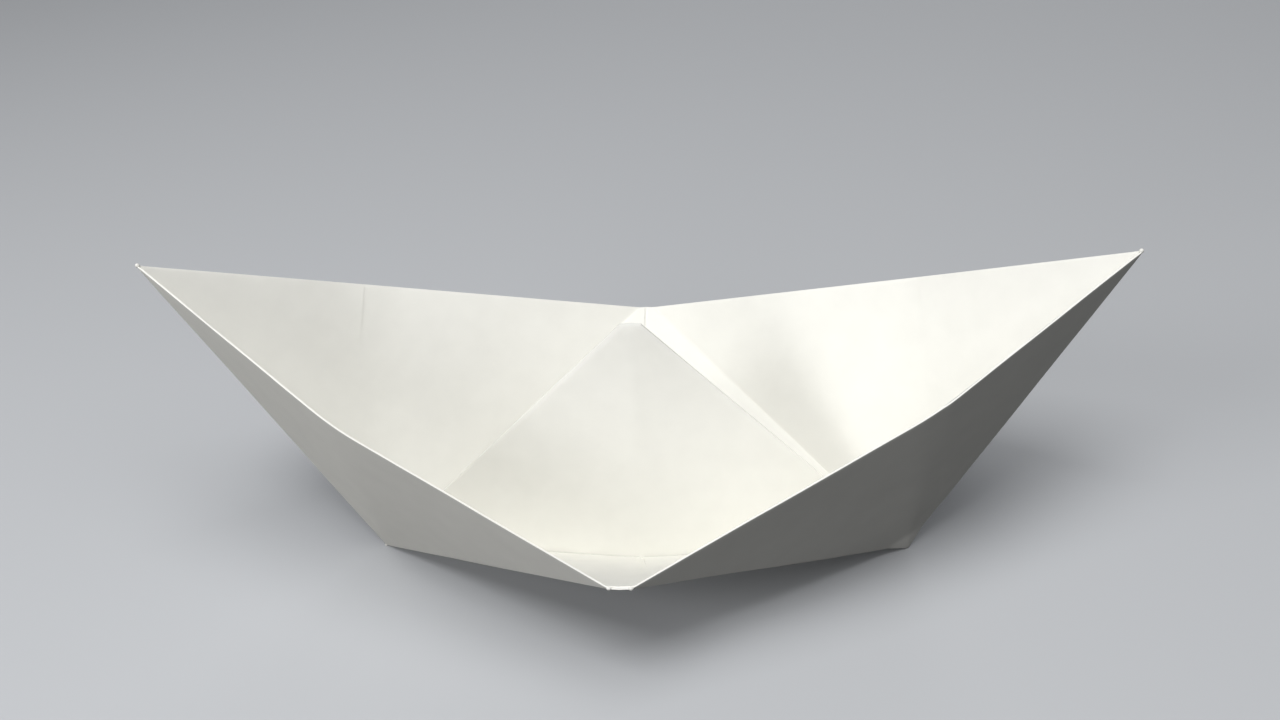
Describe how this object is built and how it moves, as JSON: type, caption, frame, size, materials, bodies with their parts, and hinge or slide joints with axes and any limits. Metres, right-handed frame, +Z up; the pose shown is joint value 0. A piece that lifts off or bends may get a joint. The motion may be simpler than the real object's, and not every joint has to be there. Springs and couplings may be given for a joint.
{
  "type": "folded paper boat",
  "caption": "Folded paper boat, pulled open: a pointed hull with a bow at each end and a peaked fold standing in the middle.",
  "frame": {"origin": "middle of the bounding box, at the level of the keel folds that the boat stands on", "axes": "+X from bow to bow, +Y towards the back of the picture's view, +Z up"},
  "size_m": [0.1748, 0.0842, 0.0664],
  "materials": {
    "paper": "matte office paper, uncoated"
  },
  "bodies": {
    "root": {"folded_sheet": "paper"}
  },
  "joints": []
}
